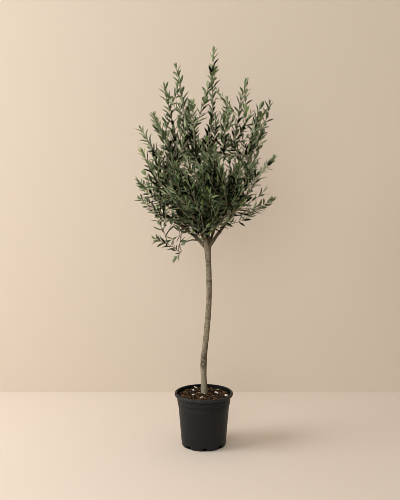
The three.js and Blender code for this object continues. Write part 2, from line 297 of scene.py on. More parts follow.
class Nodes:
    """A material's nodes, added by short calls that return an output."""

    def __init__(self, name, roughness, specular):
        self.material = plain(name, (0.8, 0.8, 0.8), roughness, specular)
        self.tree = self.material.node_tree
        self.place = self.add("TexCoord", "Object", {})

    def feed(self, node, inputs):
        """Sets a node's sockets to numbers, or links them to the outputs given."""
        for socket, value in inputs.items():
            if isinstance(value, bpy.types.NodeSocket):
                self.tree.links.new(value, node.inputs[socket])
            else:
                node.inputs[socket].default_value = value

    def add(self, kind, out, inputs, **settings):
        node = self.tree.nodes.new("ShaderNode" + kind)
        for setting, value in settings.items():
            setattr(node, setting, value)
        self.feed(node, inputs)
        return node.outputs[out]

    def noise(self, scale, detail, rough=0.55, upright=None):
        """Noise, drawn out along Z where upright is less than 1."""
        place = self.place
        if upright:
            place = self.add("Mapping", "Vector", {"Vector": place, "Scale": (1, 1, upright)})
        return self.add("TexNoise", "Fac", {
            "Vector": place, "Scale": scale, "Detail": detail, "Roughness": rough})

    def ramp(self, value, stops):
        """A colour from a value, at the stops given as (value, colour)."""
        node = self.tree.nodes.new("ShaderNodeValToRGB")
        elements = node.color_ramp.elements
        while len(elements) < len(stops):
            elements.new(0.5)
        for element, (position, color) in zip(elements, stops):
            element.position = position
            element.color = (*color, 1)
        self.feed(node, {"Fac": value})
        return node.outputs["Color"]

    def between(self, value, low, high, to_low, to_high):
        """A value's way from low to high as a number from to_low to to_high."""
        return self.add("MapRange", "Result", {
            "Value": value, "From Min": low, "From Max": high, "To Min": to_low, "To Max": to_high})

    def mix(self, share, a, b):
        """Colour a, with a share of colour b in it."""
        b = (*b, 1) if isinstance(b, tuple) else b
        return self.add("Mix", 2, {0: share, 6: a, 7: b}, data_type="RGBA")

    def height_of(self):
        """The height over the floor, in metres."""
        return self.add("SeparateXYZ", "Z", {0: self.place})

    def done(self, color, rough, relief, strength, distance):
        """The material, with a colour, a roughness and a bump."""
        bump = self.add("Bump", "Normal", {"Height": relief, "Strength": strength, "Distance": distance})
        shader = self.tree.nodes["Principled BSDF"]
        self.feed(shader, {"Base Color": color, "Roughness": rough, "Normal": bump})
        return self.material


def pot_plastic():
    """Matte black polypropylene: slightly mottled, a little dusty and scuffed, with a painted highlight
    along the lip.
    """
    n = Nodes("pot_plastic", 0.5, 0.26)
    # paler plastic, for the real scuffs and for the painted highlight on the lip
    scuff_and_highlight = (0.022, 0.0245, 0.0275)
    scuffs = n.noise(60, 6, 0.65, upright=0.25)
    base = n.ramp(n.noise(9, 5), [(0.35, (0.0040, 0.0050, 0.0060)), (0.7, (0.0064, 0.0078, 0.0092))])
    scuffed = n.mix(n.between(scuffs, 0.56, 0.8, 0, 0.5), base, scuff_and_highlight)
    # the lip is painted paler: a painted highlight where the lamps light its top
    color = n.mix(n.between(n.height_of(), 218.5 * MM, 221.5 * MM, 0, 0.42), scuffed, scuff_and_highlight)
    return n.done(color, n.between(scuffs, 0.3, 0.7, 0.44, 0.6), n.noise(900, 2), 0.25, 0.15 * MM)


# dark rings on the stem: height, how far each reaches up and down, in mm, and how dark
DARK_RINGS = [(560, 4, 0.35), (719.5, 3.6, 0.85), (787, 4, 0.5), (802, 4, 0.5)]
RING_STRETCH = (0.5, 0.9)  # the heights between which they lie, in metres


def dark_stops():
    """The stem's dark rings as stops of a ramp over their stretch."""
    low, high = RING_STRETCH
    stops = [(0.0, (0, 0, 0))]
    for height, spread, dark in DARK_RINGS:
        for step, share in ((-1.5, 0), (-0.5, 1), (0.5, 1), (1.5, 0)):
            place = height * MM + step * spread * MM
            stops.append(((place - low) / (high - low), (dark * share,) * 3))
    return stops


def bark():
    """Young olive bark: pale grey-tan, mottled, darker in rings at old joints, with painted shade up on the
    boughs and on the side away from the key lamp.
    """
    n = Nodes("olive_bark", 0.85, 0.25)
    height = n.height_of()
    mottle = n.noise(75, 6, 0.65, upright=0.45)
    color = n.ramp(mottle, [(0.32, (0.090, 0.071, 0.042)), (0.46, (0.177, 0.148, 0.099)),
                            (0.62, (0.275, 0.241, 0.175))])
    pale = n.between(n.noise(22, 3, 0.5, upright=0.5), 0.45, 0.68, 0, 0.6)
    color = n.mix(pale, color, (0.237, 0.214, 0.163))
    flecks = n.between(n.noise(170, 3, 0.6, upright=0.45), 0.54, 0.66, 0, 0.8)
    color = n.mix(flecks, color, (0.048, 0.038, 0.023))
    # the foot is paler, and a rough old scar above it is thick with dark flecks
    color = n.mix(n.between(height, 0.28, 0.35, 0.55, 0), color, (0.312, 0.272, 0.202))
    black, white = (0, 0, 0), (1, 1, 1)
    stops = [(0.2, black), (0.36, white), (0.58, white), (0.85, black)]
    scar = n.ramp(n.between(height, 0.3, 0.44, 0, 1), stops)
    specked = n.mix(n.between(n.noise(210, 2, 0.5), 0.47, 0.54, 0, 0.9), color, (0.034, 0.024, 0.013))
    color = n.mix(scar, color, specked)
    # the side facing +X, away from the key lamp, is painted browner and darker: painted shade
    normal_x = n.add("SeparateXYZ", "X", {0: n.add("NewGeometry", "Normal", {})})
    color = n.mix(n.between(normal_x, 0.2, 0.92, 0, 0.75), color, (0.100, 0.073, 0.032))
    # rings, by height, with a ragged edge
    ragged = n.between(n.noise(70, 3, 0.6), 0.25, 0.75, -2.5 * MM, 2.5 * MM)
    level = n.add("Math", 0, {0: height, 1: ragged}, operation="ADD")
    rings = n.ramp(n.between(level, *RING_STRETCH, 0, 1), dark_stops())
    color = n.mix(rings, color, (0.036, 0.037, 0.016))
    # the boughs above the fork are painted browner and darker: painted shade from the crown over them
    color = n.mix(n.between(height, 0.868, 0.905, 0, 0.85), color, (0.048, 0.032, 0.018))
    rough, relief = n.between(mottle, 0.3, 0.7, 0.92, 0.8), n.noise(380, 5, 0.7, upright=0.5)
    return n.done(color, rough, relief, 0.7, 0.6 * MM)


def potting_mix():
    n = Nodes("potting_mix", 0.95, 0.15)
    lumps = n.noise(170, 6, 0.7)
    base = n.ramp(lumps, [(0.3, (0.006, 0.004, 0.002)), (0.5, (0.028, 0.017, 0.009)),
                          (0.72, (0.090, 0.056, 0.028))])
    grains = n.add("TexVoronoi", "Distance", {"Vector": n.place, "Scale": 260})
    color = n.mix(n.between(grains, 0.1, 0.45, 0.6, 0), base, (0.008, 0.005, 0.003))
    return n.done(color, n.between(lumps, 0.3, 0.7, 1.0, 0.8), n.noise(500, 5, 0.7), 0.7, 0.8 * MM)


LEAF_TINTS = [
    # the near-black tint and underside are painted shade for leaves deep in the crown; the dull underside
    # is partly random tone and partly painted shade
    plain("leaf_painted_shade", (0.0040, 0.0074, 0.0024), 0.85, 0.03),
    plain("leaf_dark", (0.0155, 0.0335, 0.0075), 0.40, 0.25),
    plain("leaf_green", (0.043, 0.092, 0.020), 0.38, 0.40),
    plain("leaf_grey", (0.101, 0.166, 0.059), 0.42, 0.40),
    plain("leaf_young", (0.164, 0.256, 0.050), 0.42, 0.40),
    plain("leaf_yellow", (0.300, 0.370, 0.070), 0.5, 0.3),
    plain("leaf_under_painted_shade", (0.016, 0.021, 0.010), 0.85, 0.03),
    plain("leaf_under_dull", (0.083, 0.112, 0.046), 0.65, 0.2),
    plain("leaf_under", (0.190, 0.242, 0.128), 0.65, 0.2),
    plain("leaf_under_pale", (0.335, 0.398, 0.235), 0.65, 0.2),
    # the last three are darker, duller tints for leaves low in the crown: painted shade
    plain("leaf_deep", (0.0080, 0.0160, 0.0055), 0.50, 0.20),
    plain("leaf_olive", (0.034, 0.056, 0.022), 0.40, 0.35),
    plain("leaf_sage", (0.088, 0.134, 0.066), 0.45, 0.35),
]
(SHADE, DARK, GREEN, GREY, YOUNG, YELLOW, UNDER_DARK, UNDER_DULL, UNDER, UNDER_PALE,
 DEEP, OLIVE, SAGE) = range(len(LEAF_TINTS))
LOW_SHADED_TINTS = {DARK: DEEP, GREEN: OLIVE, GREY: SAGE}  # the darker tints that leaves low in the crown have instead: painted shade
TWIG_TINTS = [
    plain("twig_brown", (0.180, 0.138, 0.085), 0.85, 0.25),
    plain("twig_grey", (0.270, 0.238, 0.170), 0.85, 0.25),
    plain("twig_green", (0.300, 0.300, 0.160), 0.7, 0.3),
]
TWIG_BROWN, TWIG_GREY, TWIG_GREEN = range(len(TWIG_TINTS))


# ================================================================ pot

NOTCHES = 8  # drain notches round the foot
NOTCH_TURN = math.radians(-88)  # the way the first one faces


def wall_radius(z):
    """The plain wall's radius at a height, with a fine raised line near its top. All are in mm."""
    (low_radius, low), (high_radius, high) = (96.2, 9), (110.4, 181)
    line = 0.55 * math.exp(-((z - 170) / 1.5) ** 2)
    return low_radius + (high_radius - low_radius) * (z - low) / (high - low) + line


def build_pot():
    """A lathed pot with a rolled lip, a collar with a groove and a step, and eight arched drain notches."""
    # its section up the outside, over the lip and down the inside, as (radius, height) in mm
    foot = [(90, 0), (91.6, 0.25), (93.4, 1.2), (94.8, 3), (95.6, 5.6), (96, 8.6)]
    levels = [*np.linspace(10, 34, 17), *np.linspace(42, 162, 11),
              166, 167.6, 169, 170, 171, 172.4, 174, 178.6]
    wall = [(wall_radius(z), z) for z in levels]
    collar = [(109.3, 180.2), (109.3, 181.2), (110.2, 182), (112.4, 182.8), (113, 183.8), (113.3, 185.4),
              (113.6, 188.6), (113.3, 189.6), (112, 190.4), (112, 191.8), (113.4, 192.6), (114.1, 193.8),
              (114.4, 197), (114.9, 198), (115.1, 199), (114.8, 200), (114.7, 201.4), (115.2, 210),
              (115.4, 213), (114.9, 214.2), (113.6, 215), (113.4, 217.6), (114.2, 219)]
    lip = [(116.4, 219.8), (118.6, 219.6), (122.2, 219.8), (124.6, 220.8), (126, 222.8), (126.5, 225.6),
           (126.5, 228.4), (126, 230.8), (124.6, 232.4), (122.4, 233), (119.6, 233)]
    inner = [(117.2, 232.4), (115.4, 231), (114.2, 228.8), (113.8, 226), (113.4, 220), (110.7, 185),
             (107.9, 180), (99.6, 90), (93, 18), (91.6, 8), (89.5, 3.4), (60, 3), (20, 3)]
    profile = np.array(foot + wall + collar + lip + inner) * MM
    sides = 384
    radius, height = (np.repeat(profile[:, k:k + 1], sides, axis=1) for k in (0, 1))

    # the wall stands back a little in an arch round each notch
    spacing = 2 * math.pi / NOTCHES
    around = (turns_of(sides) - NOTCH_TURN + spacing / 2) % spacing - spacing / 2
    plain_wall = (np.arange(len(profile)) < len(foot) + len(wall))[:, None]
    arch = np.hypot(around * radius, np.maximum(height - 7 * MM, 0)) / MM
    back = 2.0 / (1 + np.exp((arch - 16.5) / 0.55))
    arch_lip = 0.5 * np.exp(-((arch - 19.0) / 1.4) ** 2)
    radius = radius + np.where(plain_wall, arch_lip - back, 0) * MM

    points, quads, caps = lathed(radius, height)
    # the faces inside the pot and those cut by the notches take a near-black second material: painted shade
    within = np.repeat(np.arange(len(profile) - 1) >= len(profile) - len(inner), sides)
    tints = np.concatenate([within, np.ones(len(caps))])
    body = put("pot_body", mesh_from("pot_body", points, [quads, caps], tints))
    cutter = put("notch_cutter", notch_blocks())
    # the second material is a near-black painted shade for the inside of the pot and its notches
    plastic, inside = pot_plastic(), plain("pot_inside_painted_shade", (0.0020, 0.0023, 0.0026), 0.7, 0.10)
    for thing in (body, cutter):
        thing.data.materials.append(plastic)
        thing.data.materials.append(inside)
    cut = body.modifiers.new("notches", "BOOLEAN")
    cut.operation, cut.solver, cut.object = "DIFFERENCE", "EXACT", cutter
    mesh = baked(body, "pot")
    bpy.data.objects.remove(cutter)
    mesh.polygons.foreach_set("use_smooth", np.ones(len(mesh.polygons), bool))
    mesh.set_sharp_from_angle(angle=math.radians(40))
    piece("pot_shell", mesh, [], ["pot"])


def notch_blocks():
    """The blocks with rounded tops that cut the notches, all in the second material, a near-black painted
    shade.
    """
    half, top, corner, low, near, far = (size * MM for size in (8.5, 14.5, 3.5, -6, 89, 112))
    bend = np.linspace(0, math.pi / 2, 6)
    right = [(half - corner + corner * math.cos(a), top - corner + corner * math.sin(a)) for a in bend]
    outline = [(half, low), *right, *[(-y, z) for y, z in right[::-1]], (-half, low)]
    points = []
    for i in range(NOTCHES):
        turn = NOTCH_TURN + 2 * math.pi * i / NOTCHES
        out = np.array([math.cos(turn), math.sin(turn), 0])
        side = np.array([-math.sin(turn), math.cos(turn), 0])
        points.extend(out * r + side * y + UP * z for r in (near, far) for y, z in outline)
    count = len(outline)
    k = np.arange(count)
    walls = np.stack([k, (k + 1) % count, count + (k + 1) % count, count + k], axis=1)
    ends = np.stack([k[::-1], count + k])
    faces = [repeated(kind, NOTCHES, 2 * count) for kind in (walls, ends)]
    return mesh_from("notch_cutter", points, faces, np.ones(NOTCHES * (count + 2)), smooth=False)


# ================================================================ potting mix

SOIL_EDGE = 113.0 * MM  # the mix's radius, inside the lip
SOIL_FLAT = 34 * MM  # its dome is level this close to the middle
SOIL_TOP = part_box("soil")[1].z
STEM_X, STEM_Y = 2.5 * MM, 12 * MM  # where the stem stands in it
# a chip is a regular body of twenty faces, squashed and roughened
CHIP_CORNERS = unit(np.array([(x, y * (1 + math.sqrt(5)) / 2, 0) for y in (1, -1) for x in (-1, 1)]))
CHIP_CORNERS = np.concatenate([np.roll(CHIP_CORNERS, k, axis=1) for k in range(3)])
CHIP_FACES = np.array([
    (0, 11, 5), (0, 5, 1), (0, 1, 7), (0, 7, 10), (0, 10, 11), (1, 5, 9), (5, 11, 4),
    (11, 10, 2), (10, 7, 6), (7, 1, 8), (3, 9, 4), (3, 4, 2), (3, 2, 6), (3, 6, 8),
    (3, 8, 9), (4, 9, 5), (2, 4, 11), (6, 2, 10), (8, 6, 7), (9, 8, 1)])
CHIP_TINTS = [
    plain("chip_black", (0.009, 0.006, 0.004), 0.95, 0.2),
    plain("chip_dark", (0.028, 0.015, 0.008), 0.95, 0.2),
    plain("chip_brown", (0.072, 0.039, 0.018), 0.95, 0.2),
    plain("chip_red", (0.130, 0.066, 0.028), 0.9, 0.2),
    plain("chip_tan", (0.225, 0.145, 0.075), 0.9, 0.2),
    plain("chip_cream", (0.680, 0.590, 0.455), 0.85, 0.3),
    plain("perlite", (0.760, 0.715, 0.630), 0.9, 0.3),
]
TAN, CREAM, PERLITE = 4, 5, 6  # the palest of them
PALE_CHIPS = [  # the pieces that stand out: place and size in mm, turn in degrees, and tint
    (-30, 88, 35, 8, 6, -32, CREAM), (-45, 42, 13, 11, 8, 0, PERLITE), (-30, -10, 9, 8, 6, 20, PERLITE),
    (-19, 3, 11, 6, 5, 30, PERLITE), (-45, -23, 14, 8, 6, -35, PERLITE), (-12, -62, 22, 7, 6, 50, CREAM),
    (-6, -56, 20, 7, 5, 105, CREAM), (55, 4, 32, 9, 7, -58, PERLITE), (62, 60, 10, 8, 6, 0, CREAM),
    (96, -22, 17, 15, 9, 10, PERLITE), (4, -8, 8, 6, 5, 0, PERLITE), (84, 24, 11, 6, 4, 15, TAN),
    (-12, 70, 10, 6, 5, 10, TAN)]


def soil_level(x, y):
    """How high the mix's smooth dome is."""
    rim = SOIL_TOP - 7 * MM
    r = np.minimum(np.hypot(x, y), SOIL_EDGE)
    share = np.clip((SOIL_EDGE - r) / (SOIL_EDGE - SOIL_FLAT), 0, 1)
    return rim + (SOIL_TOP - rim) * np.sin(share * math.pi / 2) - 1.2 * MM


def build_soil():
    """A roughened cap of fine rings, with a skirt inside the pot that ends above the drain notches."""
    rings, sides = 64, 220
    skirt = np.array([(60, 16.6), (92.4, 17), (107.2, 178), (110.2, 185), (112.8, 214)]) * MM
    radii = np.repeat(np.linspace(SOIL_EDGE, 1.2 * MM, rings)[:, None], sides, axis=1)
    x, y = ((radii * wave(turns_of(sides))).ravel() for wave in (np.cos, np.sin))
    level = soil_level(x, y)
    top = np.stack([x, y, level], axis=1)
    relief = noise_at(top, 80, 3.1) * 2.0 + noise_at(top, 190, 7.7) * 1.8 + noise_at(top, 430, 1.3) * 0.9
    relief = relief * MM * (0.25 + 0.75 * np.clip((SOIL_EDGE - np.hypot(x, y)) / (4 * MM), 0, 1))
    height = np.vstack([np.repeat(skirt[:, 1:], sides, axis=1), (level + relief).reshape(rings, sides)])
    points, quads, caps = lathed(np.vstack([np.repeat(skirt[:, :1], sides, axis=1), radii]), height)
    piece("potting_mix_bed", mesh_from("potting_mix_bed", points, [quads, caps]),
          [potting_mix()], ["soil"])


def build_chips():
    """Bark chips and crumbs strewn over the mix, and the pale pieces that stand out."""
    rng = np.random.default_rng(SEEDS["chips"])
    chips = []

    def spot(margin, clear):
        """A random place this far from the mix's edge, or None if it is too close to the stem."""
        r = (SOIL_EDGE - margin * MM) * math.sqrt(rng.uniform())
        turn = rng.uniform(0, 2 * math.pi)
        x, y = r * math.cos(turn), r * math.sin(turn)
        return None if math.hypot(x - STEM_X, y - STEM_Y) < clear * MM else (x, y)

    def add(x, y, size, tint, lift, yaw=None, tilt=0.35, wild=0.22):
        yaw = rng.uniform(0, 2 * math.pi) if yaw is None else yaw
        lean = rng.normal(0, tilt, 2)
        shape = CHIP_CORNERS * (1 + rng.normal(0, wild, CHIP_CORNERS.shape)) * (np.array(size) * MM / 2)
        (cz, sz), (cx, sx), (cy, sy) = ((math.cos(turn), math.sin(turn)) for turn in (yaw, *lean))
        shape = shape @ np.array([[cz, sz, 0], [-sz, cz, 0], [0, 0, 1]])
        shape = shape @ np.array([[1, 0, 0], [0, cx, sx], [0, -sx, cx]])
        shape = shape @ np.array([[cy, 0, -sy], [0, 1, 0], [sy, 0, cy]])
        chips.append((shape + np.array([x, y, soil_level(x, y) + (0.2 * size[2] + lift) * MM]), tint))

    for _ in range(1050):
        place = spot(3, 16)
        if place:
            long = min(rng.gamma(2.6, 2.5) + 2.2, 19)
            tint = rng.choice(5, p=[0.36, 0.22, 0.22, 0.15, 0.05])
            wide, thick = long * rng.uniform(0.4, 0.75), long * rng.uniform(0.22, 0.45)
            add(*place, (long, wide, thick), tint, rng.uniform(-0.8, 1.4))
    for _ in range(46):
        place = spot(5, 18)
        if place:
            size = rng.uniform(1.4, 3.0)
            add(*place, (size, size * 0.85, size * 0.75), rng.choice([CREAM, PERLITE]), 1.0)
    for x, y, long, wide, thick, turn, tint in PALE_CHIPS:
        add(x * MM, y * MM, (long, wide, thick), tint, 1.6, yaw=math.radians(turn), tilt=0.12, wild=0.12)

    points = np.vstack([shape for shape, _ in chips])
    off = np.hypot(points[:, 0], points[:, 1])
    points[:, :2] *= np.minimum(1, (SOIL_EDGE - 0.2 * MM) / off)[:, None]
    faces = repeated(CHIP_FACES, len(chips), len(CHIP_CORNERS))
    tints = np.repeat([tint for _, tint in chips], len(CHIP_FACES))
    mesh = mesh_from("bark_chips", points, [faces], tints, smooth=False)
    piece("bark_chips", mesh, CHIP_TINTS, ["soil"])


# ================================================================ trunk and boughs

ROUNDING = 1.04  # a round limb is this much thicker than the even-area circle of the faceted one
KNOTS = [  # lumps and old scars on the stem: height above the mix, how far they spread and how rough, in mm
    (148, 24, 1.7), (30, 12, 0.5), (485, 5, 1.1), (330, 9, 0.5), (546, 5, 0.6), (560, 5, 0.6),
    (232, 6, 0.5)]


def slice_of(points, edges, at, along):
    """Where a plane cuts a CAD limb: its middle and round radius there, or None where it misses."""
    side = (points - at) @ along
    a, b = edges[:, 0], edges[:, 1]
    cut = side[a] * side[b] < 0
    if cut.sum() < 5:
        return None
    a, b = a[cut], b[cut]
    hits = points[a] + (side[a] / (side[a] - side[b]))[:, None] * (points[b] - points[a])
    middle = hits.mean(axis=0)
    first = unit(np.cross(along, [0.3, 0.9, 0.1]))
    second = np.cross(along, first)
    u, v = (hits - middle) @ first, (hits - middle) @ second
    order = np.argsort(np.arctan2(v, u))
    u, v = u[order], v[order]
    un, vn = np.roll(u, -1), np.roll(v, -1)
    cross = u * vn - un * v
    area = cross.sum() / 2
    if area < 1e-6:
        return None
    cu, cv = ((u + un) * cross).sum() / (6 * area), ((v + vn) * cross).sum() / (6 * area)
    return middle + first * cu + second * cv, math.sqrt(area / math.pi)


def edges_of(corners):
    pairs = np.sort(np.vstack([corners[:, [0, 1]], corners[:, [1, 2]], corners[:, [2, 0]]]), axis=1)
    return np.unique(pairs, axis=0)


def slices_of(name, places, along):
    """A CAD limb's middles and radii, where planes across it at some places cut it."""
    points, corners = cad_mesh(name)
    edges = edges_of(corners)
    found = [slice_of(points, edges, place, along) for place in places]
    return zip(*[(middle, radius * ROUNDING) for middle, radius in filter(None, found)])


def trunk_line():
    """The stem's middle line and radii, sliced from its CAD solid."""
    lo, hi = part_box("trunk")
    heights = np.linspace(lo.z + 1 * MM, hi.z - 6 * MM, 60)
    path, radii = slices_of("trunk", [np.array([0, 0, z]) for z in heights], UP)
    return np.array(path), np.array(radii)


def bough_line(name, root):
    """A bough's middle line and radii, run back into what carries it."""
    points, _ = cad_mesh(name)
    reach = np.linalg.norm(points - root, axis=1)
    far = points[reach > reach.max() - 4 * MM].mean(axis=0)
    along = unit(far - root)
    span = (far - root) @ along
    places = [root + along * span * share for share in np.linspace(0.3, 0.94, 8)]
    path, radii = slices_of(name, places, along)
    return np.array([root, *path, far]), np.array([radii[0] * 1.12, *radii, radii[-1] * 0.96])


def grown_line(path, radii):
    """The same line and radii, smoothed and read off every few millimetres."""
    step = 4 * MM
    run = run_along(path)
    fine = evenly(smooth_path(path, step / 2), step)
    fine_run = run_along(fine)
    return fine, np.interp(fine_run / fine_run[-1], run / run[-1], radii)


def limb_lines():
    """Each limb's line and radii by name, the tubes that they make, and the place where they part."""
    path, radii = trunk_line()
    fork = path[-1]
    path, radii = grown_line(path, radii)
    radii = radii * (1 + (noise_at(path, 14, 2.0) * 0.025 + noise_at(path, 45, 5.0) * 0.015))
    sunk = path.copy()
    sunk[0, 2] = SOIL_TOP - 3 * MM
    lines, tubes = {"trunk": path}, [(*tube(sunk, radii, 28), 0)]
    for name in BOUGHS:
        if name != "bough_hanging":
            path, radii = grown_line(*bough_line(name, fork - UP * 14 * MM))
            radii = radii * (1 + noise_at(path, 40, 1.0) * 0.07)
            lines[name] = path
            tubes.append((*tube(path, radii, 20), 0))
    left = lines["bough_left"]
    path, radii = grown_line(*bough_line("bough_hanging", left[int(len(left) * 0.2)]))
    lines["bough_hanging"] = path
    tubes.append((*tube(path, radii * 0.8, 14), 0))
    return lines, tubes, fork


def build_limbs():
    """The trunk and boughs as one skin with the bark's relief. Returns their lines and where they part."""
    lines, tubes, fork = limb_lines()
    points, faces, _ = joined(tubes)
    skin = put("limb_skin", mesh_from("limb_skin", points, faces))
    remesh = skin.modifiers.new("one_skin", "REMESH")
    remesh.mode, remesh.voxel_size = "VOXEL", 1.7 * MM
    soften = skin.modifiers.new("soften", "SMOOTH")
    soften.factor, soften.iterations = 0.5, 4
    mesh = baked(skin, "limbs")
    p, normals = read(mesh.vertices, "co", 3), read(mesh.vertices, "normal", 3)
    above = (p[:, 2] - SOIL_TOP) / MM
    furrows, grain = noise_at(p, (150, 150, 26), 4.0), noise_at(p, (380, 380, 120), 9.0)
    lumps = noise_at(p, (60, 60, 34), 6.0)
    relief = furrows * 0.34 + grain * 0.30 + lumps * 0.35
    for height, spread, size in KNOTS:
        weight = np.exp(-((above - height) / spread) ** 2)
        close = weight > 0.02
        rough = np.zeros(len(p))
        rough[close] = noise_at(p[close], (150, 150, 120), height)
        relief += weight * size * (0.35 + rough * 1.3)
    p += normals * (relief * np.clip(above / 6, 0.2, 1) * MM)[:, None]
    mesh.vertices.foreach_set("co", p.astype(np.float32).ravel())
    mesh.update()
    mesh.polygons.foreach_set("use_smooth", np.ones(len(mesh.polygons), bool))
    piece("bark_limbs", mesh, [bark()], ["trunk", *BOUGHS])
    return lines, fork


# ================================================================ how the crown grows

class Crown:
    """The CAD masses, which can be asked how deep inside them a point lies."""

    def __init__(self, rng):
        self.meshes = {name: cad_mesh(name) for name in MASSES}
        meshes = self.meshes.values()
        bases = np.cumsum([0, *(len(points) for points, _ in meshes)])
        whole = (np.vstack([points for points, _ in meshes]),
                 np.vstack([corners + base for (_, corners), base in zip(meshes, bases)]))
        self.trees = {name: BVHTree.FromPolygons(points.tolist(), corners.tolist())
                      for name, (points, corners) in {**self.meshes, "crown": whole}.items()}
        self.inner = {}  # points spread through the inside of each mass
        for name, (points, _) in self.meshes.items():
            tries = rng.uniform(points.min(axis=0), points.max(axis=0), (900, 3))
            self.inner[name] = np.array([t for t in tries if self.depth(t, name) > 4 * MM])
        self.skin = []  # (place, way out, mass) of points spread over the faces that look out of the crown
        for name, (points, corners) in self.meshes.items():
            a, b, c = (points[corners[:, k]] for k in range(3))
            normal = np.cross(b - a, c - a)
            area = np.linalg.norm(normal, axis=1) / 2
            count = int(area.sum() / (11 * MM) ** 2)
            pick = rng.choice(len(corners), count, p=area / area.sum())
            u, v = rng.uniform(size=(2, count))
            over = u + v > 1
            u[over], v[over] = 1 - u[over], 1 - v[over]
            place = a[pick] + u[:, None] * (b - a)[pick] + v[:, None] * (c - a)[pick]
            self.skin.extend((p, n, name) for p, n in zip(place, unit(normal[pick]))
                             if self.depth(p + n * 15 * MM) < 0)
        self.near_skin = KDTree(len(self.skin))
        for i, (p, _, _) in enumerate(self.skin):
            self.near_skin.insert(p, i)
        self.near_skin.balance()

    def sunk(self, point):
        """How far a point lies from the faces that look out of the crown."""
        return self.near_skin.find(Vector(point))[2]

    def depth(self, point, name="crown"):
        """How far inside one mass, or all of them, a point lies; below 0 outside."""
        place, normal, _, distance = self.trees[name].find_nearest(Vector(point))
        return distance if (place - Vector(point)).dot(normal) > 0 else -distance


class Wood:
    """Every stem grown so far, as points that a new one may leave."""

    def __init__(self):
        self.points, self.along, self.owner = [], [], []

    def add(self, path, owner, low, high):
        """Lets stems leave the path between two shares of its length. owner is a mass, or "limb"."""
        shares = np.linspace(0, 1, len(path))
        keep = (shares >= low) & (shares <= high)
        self.points.extend(path[keep])
        self.along.extend(unit(np.gradient(path, axis=0))[keep])
        self.owner.extend([owner] * keep.sum())

    def towards(self, target):
        """The points, their directions, and how far, straight ahead and steeply up a target lies."""
        at, along = np.array(self.points), np.array(self.along)
        away = target - at
        gap = np.linalg.norm(away, axis=1)
        size = np.maximum(gap, 1e-6)
        return at, along, gap, (away * along).sum(axis=1) / size, away[:, 2] / size


def grow_leaders(crown, wood, fork):
    """A leader up the middle of every mass to its tip, nearest mass first."""
    plans = []
    for name, (points, _) in crown.meshes.items():
        reach = np.linalg.norm(points - fork, axis=1)
        tip, foot = points[reach.argmax()], points[reach.argmin()]
        samples = crown.inner[name]
        axis = tip - foot
        share = (samples - foot) @ axis / (axis @ axis)
        by_tip = np.linalg.norm(samples - (tip - axis * 0.22), axis=1) < 75 * MM
        parts = [(share >= 0.02) & (share <= 0.32), (share >= 0.38) & (share <= 0.62),
                 (share >= 0.70) & (share <= 0.86) & by_tip]
        stops = [samples[part].mean(axis=0) for part in parts if part.sum() > 3]
        plans.append((np.linalg.norm(foot - fork), name, stops, tip))
    leaders = []
    for _, name, stops, tip in sorted(plans, key=lambda plan: plan[0]):
        at, along, gap, cosine, _ = wood.towards(stops[0])
        cost = gap + 0.25 * np.maximum(0, 0.85 - cosine) + 0.40 * np.maximum(0, 0.4 - cosine)
        cost = cost + np.where(gap < 12 * MM, 0.2, 0)
        if name != "mass_hanging":
            cost = cost + np.maximum(0, at[:, 2] + 10 * MM - stops[0][2]) * 1.5
        pick = cost.argmin()
        way = [at[pick]]
        if gap[pick] > 60 * MM:
            way.append(at[pick] + along[pick] * min(0.3 * gap[pick], 60 * MM))
        end = tip - unit(tip - stops[-1]) * LEADER_SHORT
        path = evenly(smooth_path([*way, *stops, end], 6 * MM), 9 * MM)
        size = length_of(path)
        path = swayed(path, 16, [k * 9.1 + size for k in range(3)], 1, 5)
        leaders.append({"path": path, "mass": name, "bare": LEADER_BARE, "kind": "leader"})
        wood.add(path, name, 0.12, 0.72)
    return leaders


def gap_at(spots, owners, low_gap):
    """How far apart shoots end at some spots: further in the upper crown and in the open masses."""
    open_by = np.array([OPEN_MASSES.get(name, 1.0) for name in owners])
    return low_gap * open_by * np.interp(spots[:, 2], OPENING_HEIGHTS, (1.0, OPENING))


def room_beside(others, spots, gap):
    """The room at each spot: none where another thing is too close, and otherwise enough for an end."""
    room = np.linalg.norm(spots[:, None] - others[None], axis=2).min(axis=1)
    return np.where(room < END_ROOM, 0, np.maximum(room, gap * 1.001))


def spread_out(ends, kind, spots, owners, room, gap, sink):
    """Adds ends at the spots, sunk a little, the one with most room first, until none has a gap's room."""
    room = room / gap
    while room.max() >= 1:
        pick = room.argmax()
        ends.append((spots[pick] - sink[pick], kind, owners[pick]))
        room = np.minimum(room, np.linalg.norm(spots - spots[pick], axis=1) / gap)


